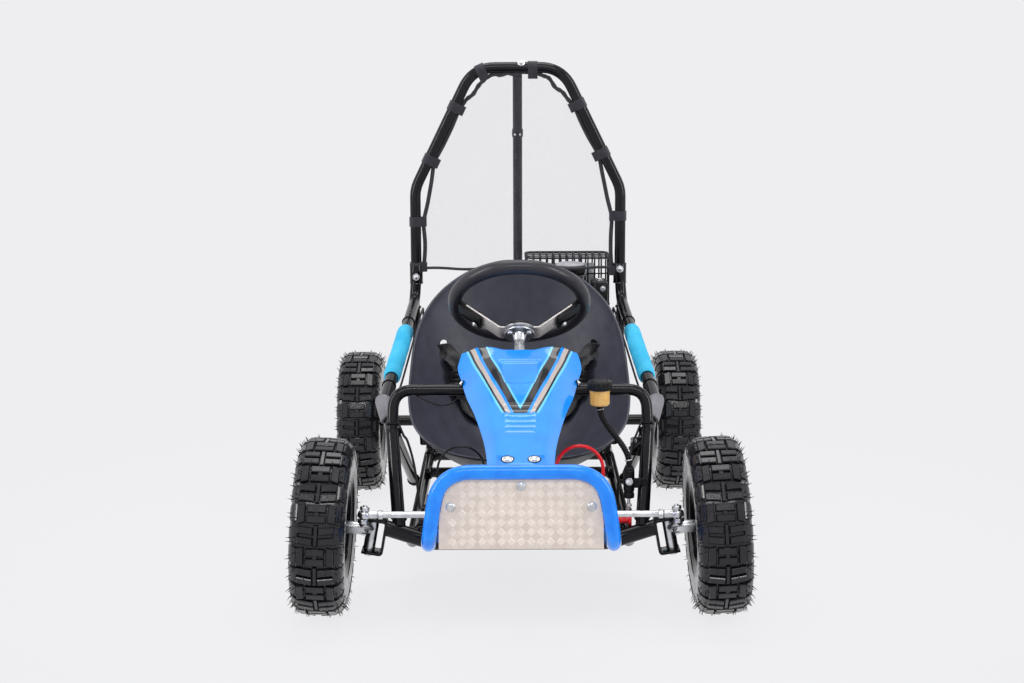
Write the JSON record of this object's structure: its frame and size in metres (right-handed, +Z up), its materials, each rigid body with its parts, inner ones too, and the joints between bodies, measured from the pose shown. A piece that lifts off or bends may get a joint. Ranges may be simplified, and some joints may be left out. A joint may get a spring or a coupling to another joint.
{
  "type": "off road go kart",
  "caption": "Off road go kart for one child: tube frame, roll hoop with net, bucket seat, knobby tyres, rear engine with chain drive.",
  "frame": {"origin": "on the ground under the middle of the kart's outer box", "axes": "+Z up, the kart faces -Y, +X is the driver's left"},
  "size_m": [0.8422, 1.3556, 1.0134],
  "materials": {
    "paint_black": "gloss",
    "paint_blue": "gloss",
    "paint_red": "gloss",
    "zinc": "satin",
    "steel": "satin",
    "checker_plate": "satin",
    "aluminium": "brushed",
    "tyre": "matt",
    "rubber": "matt",
    "black_plastic": "satin",
    "seat_plastic": "satin",
    "grey_plastic": "satin",
    "fairing_plastic": "gloss",
    "foam": "matt",
    "webbing": "woven",
    "net": "woven",
    "amber_plastic": "translucent look"
  },
  "bodies": {
    "frame": {"lower_frame": "paint_black", "side_tube_left": "paint_black", "side_tube_right": "paint_black", "front_leg_hoop": "paint_black", "roll_hoop": "paint_black", "rear_strut": "paint_black", "floor_pan": "paint_black", "engine_guard": "paint_black", "front_bumper": "paint_blue", "bumper_plate": "checker_plate", "engine_block": "aluminium", "carburettor": "aluminium", "kingpin_left": "zinc", "kingpin_right": "zinc", "axle_bearing_left": "steel", "axle_bearing_right": "steel", "drive_chain": "steel", "muffler": "steel", "reservoir_hose": "rubber", "master_cylinder": "black_plastic", "brake_line": "black_plastic", "throttle_cable": "black_plastic", "brake_caliper": "black_plastic", "recoil_starter": "black_plastic", "air_filter_box": "black_plastic", "fuel_tank": "black_plastic", "seat": "seat_plastic", "side_guard_left": "grey_plastic", "side_guard_right": "grey_plastic", "front_fairing": "fairing_plastic", "foam_sleeve_left": "foam", "foam_sleeve_right": "foam", "seat_belt": "webbing", "cage_net": "net", "fluid_reservoir": "amber_plastic"},
    "steering": {"steering_shaft": "zinc", "steering_wheel_rim": "black_plastic", "steering_spokes": "aluminium"},
    "left_knuckle": {"knuckle_left": "zinc"},
    "right_knuckle": {"knuckle_right": "zinc"},
    "left_tie_rod": {"tie_rod_left": "zinc"},
    "right_tie_rod": {"tie_rod_right": "zinc"},
    "left_front_wheel": {"front_tyre_left": "tyre", "front_rim_left": "paint_black"},
    "right_front_wheel": {"front_tyre_right": "tyre", "front_rim_right": "paint_black"},
    "rear_wheels": {"rear_axle": "paint_black", "axle_sprocket": "steel", "brake_disc": "steel", "rear_tyre_left": "tyre", "rear_tyre_right": "tyre", "rear_rim_left": "paint_black", "rear_rim_right": "paint_black"},
    "clutch": {"clutch_drum": "steel"},
    "brake": {"brake_pedal": "paint_red"},
    "throttle": {"throttle_pedal": "zinc"},
    "pushrod": {"master_pushrod": "zinc"},
    "brake_cap": {"reservoir_cap": "black_plastic"},
    "tank_cap": {"fuel_cap": "grey_plastic"},
    "pull_handle": {"recoil_handle": "black_plastic"}
  },
  "joints": [
    {"name": "steering_turn", "type": "hinge", "parent": "frame", "child": "steering", "pos_m": [0, -0.143, 0.539], "axis": [0, 0.6521, 0.7581], "range_deg": [-27, 27]},
    {"name": "left_steer", "type": "hinge", "parent": "frame", "child": "left_knuckle", "pos_m": [0.278, -0.45, 0.15], "axis": [-0.1736, 0, 0.9848], "range_deg": [-27, 27]},
    {"name": "right_steer", "type": "hinge", "parent": "frame", "child": "right_knuckle", "pos_m": [-0.278, -0.45, 0.15], "axis": [0.1736, 0, 0.9848], "range_deg": [-27, 27]},
    {"name": "left_rod_end", "type": "hinge", "parent": "left_knuckle", "child": "left_tie_rod", "pos_m": [0.287, -0.5, 0.202], "axis": [-0.1732, 0.0718, 0.9823], "range_deg": [-27, 27]},
    {"name": "right_rod_end", "type": "hinge", "parent": "right_knuckle", "child": "right_tie_rod", "pos_m": [-0.287, -0.5, 0.202], "axis": [0.1732, 0.0718, 0.9823], "range_deg": [-27, 27]},
    {"name": "left_front_spin", "type": "hinge", "parent": "left_knuckle", "child": "left_front_wheel", "pos_m": [0.365, -0.45, 0.16671], "axis": [0.9986, 0, 0.0523], "continuous": true},
    {"name": "right_front_spin", "type": "hinge", "parent": "right_knuckle", "child": "right_front_wheel", "pos_m": [-0.365, -0.45, 0.16671], "axis": [0.9986, 0, -0.0523], "continuous": true},
    {"name": "rear_axle_spin", "type": "hinge", "parent": "frame", "child": "rear_wheels", "pos_m": [0, 0.45, 0.165], "axis": [1, 0, 0], "continuous": true},
    {"name": "clutch_spin", "type": "hinge", "parent": "frame", "child": "clutch", "pos_m": [0.03, 0.43, 0.29], "axis": [1, 0, 0], "continuous": true},
    {"name": "brake_press", "type": "hinge", "parent": "frame", "child": "brake", "pos_m": [0.111, -0.436, 0.172], "axis": [1, 0, 0], "range_deg": [0, 20], "stiffness_Nm_per_rad": 2, "springref_deg": -20.05},
    {"name": "throttle_press", "type": "hinge", "parent": "frame", "child": "throttle", "pos_m": [-0.111, -0.436, 0.172], "axis": [1, 0, 0], "range_deg": [0, 18], "stiffness_Nm_per_rad": 1, "springref_deg": -20.05},
    {"name": "pushrod_slide", "type": "slide", "parent": "frame", "child": "pushrod", "axis": [0, 0, 1], "range_m": [0, 0.011]},
    {"name": "reservoir_cap_turn", "type": "hinge", "parent": "frame", "child": "brake_cap", "pos_m": [0.152, -0.3353, 0.408], "axis": [0, 0, 1], "range_deg": [0, 300]},
    {"name": "fuel_cap_turn", "type": "hinge", "parent": "frame", "child": "tank_cap", "pos_m": [0.122, 0.442, 0.532], "axis": [0, 0, 1], "range_deg": [0, 90]},
    {"name": "starter_pull", "type": "slide", "parent": "frame", "child": "pull_handle", "axis": [0, 1, 0], "range_m": [0, 0.4], "stiffness_N_per_m": 15, "springref_m": -0.02}
  ],
  "couplings": [
    {"joint": "left_steer", "follows": "steering_turn", "ratio": 1},
    {"joint": "right_steer", "follows": "steering_turn", "ratio": 1},
    {"joint": "left_rod_end", "follows": "steering_turn", "ratio": -1},
    {"joint": "right_rod_end", "follows": "steering_turn", "ratio": -1},
    {"joint": "clutch_spin", "follows": "rear_axle_spin", "ratio": 3.6},
    {"joint": "pushrod_slide", "follows": "brake_press", "m_per_rad": 0.031}
  ]
}
